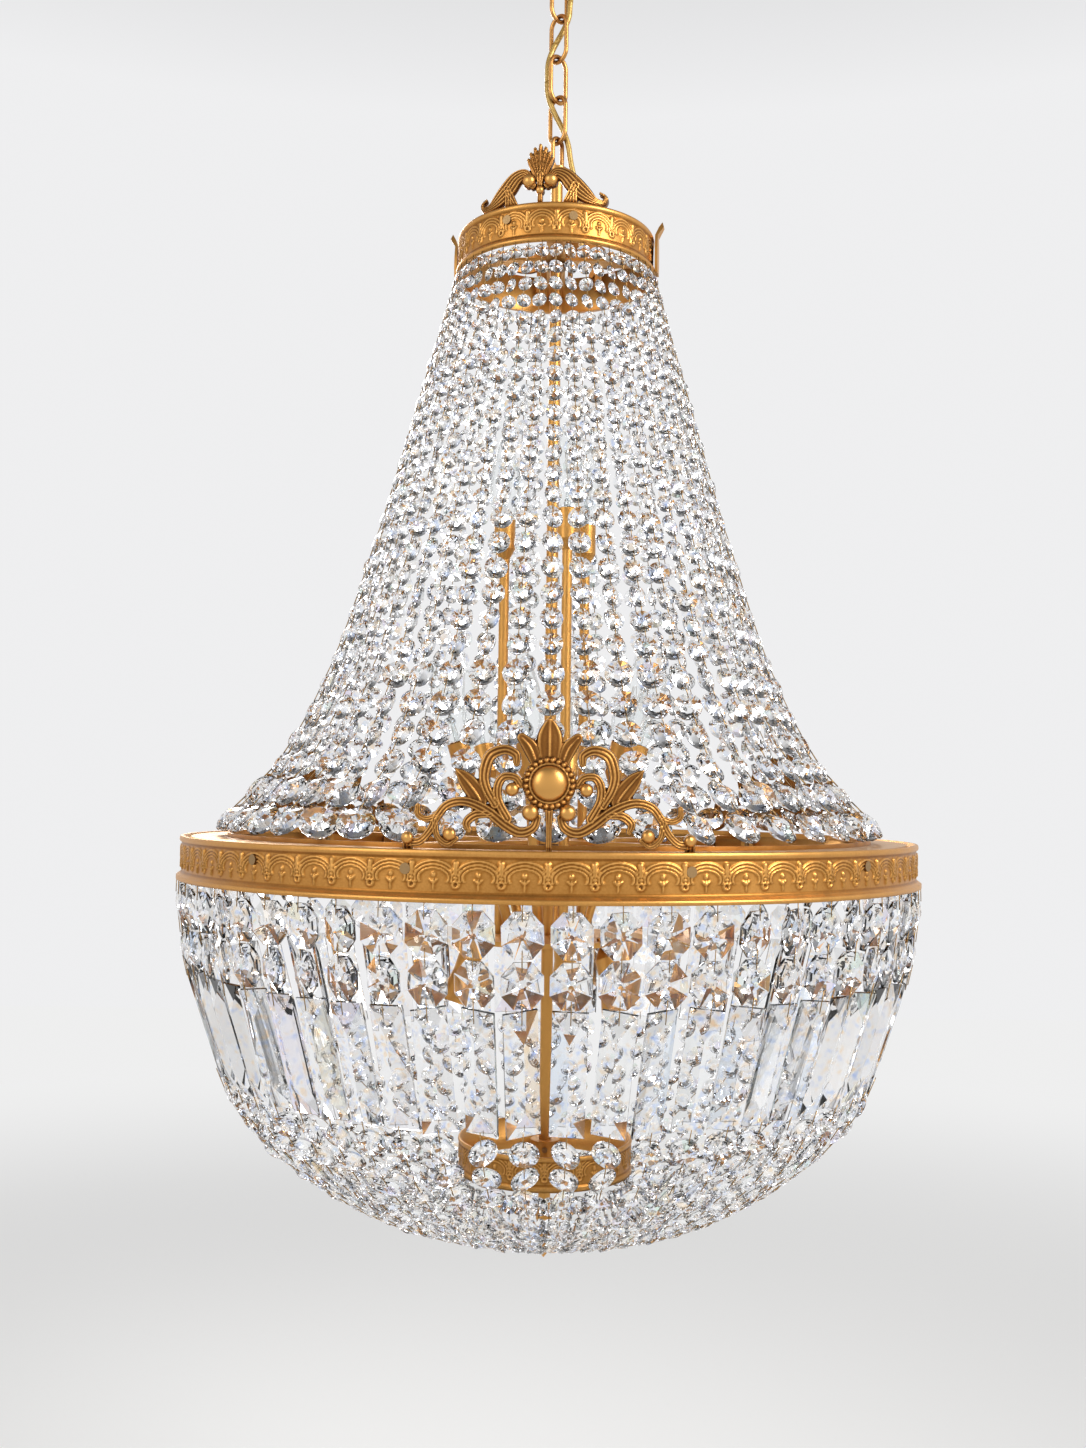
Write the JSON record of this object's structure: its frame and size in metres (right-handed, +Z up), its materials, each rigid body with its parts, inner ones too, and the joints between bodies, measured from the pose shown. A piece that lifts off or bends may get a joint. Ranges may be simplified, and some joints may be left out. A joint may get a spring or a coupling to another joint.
{
  "type": "crystal chandelier",
  "caption": "Hanging basket chandelier: a tent of crystal strands from a crown to a wide gold ring, with a crystal bowl of octagons, prisms and beads below, on a chain and canopy.",
  "frame": {"origin": "middle of the ceiling strap's upper face, on the ceiling", "axes": "+Z up along the stem, -Y towards the front crest, +X to the viewer's right"},
  "size_m": [0.6049, 0.6083, 1.1621],
  "materials": {
    "antique_gold": "satin",
    "bronze": "satin",
    "crystal": "polished",
    "bulb_glass": "polished",
    "cable_cover": "satin",
    "insulator": "matt",
    "fixing_metal": "satin"
  },
  "bodies": {
    "ceiling": {"ceiling_strap": "fixing_metal", "canopy": "antique_gold", "canopy_nipple": "fixing_metal", "canopy_loop": "bronze", "terminal_block": "insulator", "cable_outlet": "antique_gold", "supply_cable": "cable_cover"},
    "link_1": {"chain_link_1": "bronze"},
    "link_2": {"chain_link_2": "bronze"},
    "link_3": {"chain_link_3": "bronze"},
    "chandelier": {"basket_beads": "crystal", "basket_hooks": "fixing_metal", "bottom_ring": "antique_gold", "bottom_spider": "antique_gold", "cable_gland": "antique_gold", "chain_link_4": "bronze", "crown_band": "antique_gold", "crown_crest_back": "antique_gold", "crown_crest_front": "antique_gold", "crown_side_leaves": "antique_gold", "crown_spider": "antique_gold", "down_lamp_cups": "antique_gold", "drop_prisms": "crystal", "lamp_plate": "antique_gold", "lampholders": "insulator", "main_band": "antique_gold", "main_crest_front": "antique_gold", "main_crest_left": "antique_gold", "main_crest_right": "antique_gold", "main_shelf": "antique_gold", "main_spider": "antique_gold", "mid_lamp_holders": "antique_gold", "mid_lamp_tubes": "antique_gold", "octagon_row_1": "crystal", "octagon_row_2": "crystal", "ring_screws": "fixing_metal", "set_screw": "fixing_metal", "stem": "antique_gold", "stem_eye": "bronze", "stem_nuts": "fixing_metal", "tall_lamp_holders": "antique_gold", "tall_lamp_tubes": "antique_gold", "tent_crystals_large": "crystal", "tent_crystals_medium": "crystal", "tent_crystals_small": "crystal"},
    "bulb_tall_1": {"bulb_tall_1": "bulb_glass"},
    "bulb_tall_2": {"bulb_tall_2": "bulb_glass"},
    "bulb_tall_3": {"bulb_tall_3": "bulb_glass"},
    "bulb_mid_1": {"bulb_mid_1": "bulb_glass"},
    "bulb_mid_2": {"bulb_mid_2": "bulb_glass"},
    "bulb_mid_3": {"bulb_mid_3": "bulb_glass"},
    "bulb_mid_4": {"bulb_mid_4": "bulb_glass"},
    "bulb_mid_5": {"bulb_mid_5": "bulb_glass"},
    "bulb_mid_6": {"bulb_mid_6": "bulb_glass"},
    "bulb_down_1": {"bulb_down_1": "bulb_glass"},
    "bulb_down_2": {"bulb_down_2": "bulb_glass"},
    "bulb_down_3": {"bulb_down_3": "bulb_glass"},
    "finial": {"finial": "antique_gold"}
  },
  "joints": [
    {"name": "swing_1", "type": "hinge", "parent": "ceiling", "child": "link_1", "pos_m": [0, 0, -0.07375], "axis": [-0.7071, 0.7071, 0], "range_deg": [-20, 20], "deforming": ["supply_cable"]},
    {"name": "swing_2", "type": "hinge", "parent": "link_1", "child": "link_2", "pos_m": [0, 0, -0.1095], "axis": [0.7071, 0.7071, 0], "range_deg": [-20, 20], "deforming": ["supply_cable"]},
    {"name": "swing_3", "type": "hinge", "parent": "link_2", "child": "link_3", "pos_m": [0, 0, -0.1456], "axis": [-0.7071, 0.7071, 0], "range_deg": [-20, 20], "deforming": ["supply_cable"]},
    {"name": "swing_4", "type": "hinge", "parent": "link_3", "child": "chandelier", "pos_m": [0, 0, -0.1817], "axis": [0.7071, 0.7071, 0], "range_deg": [-20, 20], "deforming": ["supply_cable"]},
    {"name": "unscrew_tall_1", "type": "hinge", "parent": "chandelier", "child": "bulb_tall_1", "pos_m": [-0.04092, 0.00945, -0.5388], "axis": [0, 0, 1], "continuous": true},
    {"name": "unscrew_tall_2", "type": "hinge", "parent": "chandelier", "child": "bulb_tall_2", "pos_m": [0.01228, -0.04016, -0.5388], "axis": [0, 0, 1], "continuous": true},
    {"name": "unscrew_tall_3", "type": "hinge", "parent": "chandelier", "child": "bulb_tall_3", "pos_m": [0.02864, 0.03072, -0.5388], "axis": [0, 0, 1], "continuous": true},
    {"name": "unscrew_mid_1", "type": "hinge", "parent": "chandelier", "child": "bulb_mid_1", "pos_m": [-0.07802, -0.02385, -0.73136], "axis": [-0.2796, -0.0855, 0.9563], "continuous": true},
    {"name": "unscrew_mid_2", "type": "hinge", "parent": "chandelier", "child": "bulb_mid_2", "pos_m": [-0.01835, -0.07949, -0.73136], "axis": [-0.0658, -0.2849, 0.9563], "continuous": true},
    {"name": "unscrew_mid_3", "type": "hinge", "parent": "chandelier", "child": "bulb_mid_3", "pos_m": [0.05966, -0.05564, -0.73136], "axis": [0.2138, -0.1994, 0.9563], "continuous": true},
    {"name": "unscrew_mid_4", "type": "hinge", "parent": "chandelier", "child": "bulb_mid_4", "pos_m": [0.07802, 0.02385, -0.73136], "axis": [0.2796, 0.0855, 0.9563], "continuous": true},
    {"name": "unscrew_mid_5", "type": "hinge", "parent": "chandelier", "child": "bulb_mid_5", "pos_m": [0.01835, 0.07949, -0.73136], "axis": [0.0658, 0.2849, 0.9563], "continuous": true},
    {"name": "unscrew_mid_6", "type": "hinge", "parent": "chandelier", "child": "bulb_mid_6", "pos_m": [-0.05966, 0.05564, -0.73136], "axis": [-0.2138, 0.1994, 0.9563], "continuous": true},
    {"name": "unscrew_down_1", "type": "hinge", "parent": "chandelier", "child": "bulb_down_1", "pos_m": [-0.06707, -0.02051, -0.92444], "axis": [-0.3113, -0.0952, -0.9455], "continuous": true},
    {"name": "unscrew_down_2", "type": "hinge", "parent": "chandelier", "child": "bulb_down_2", "pos_m": [0.0513, -0.04784, -0.92444], "axis": [0.2381, -0.222, -0.9455], "continuous": true},
    {"name": "unscrew_down_3", "type": "hinge", "parent": "chandelier", "child": "bulb_down_3", "pos_m": [0.01578, 0.06834, -0.92444], "axis": [0.0732, 0.3172, -0.9455], "continuous": true},
    {"name": "unscrew_finial", "type": "hinge", "parent": "chandelier", "child": "finial", "pos_m": [0, 0, -1.144], "axis": [0, 0, 1], "continuous": true}
  ]
}
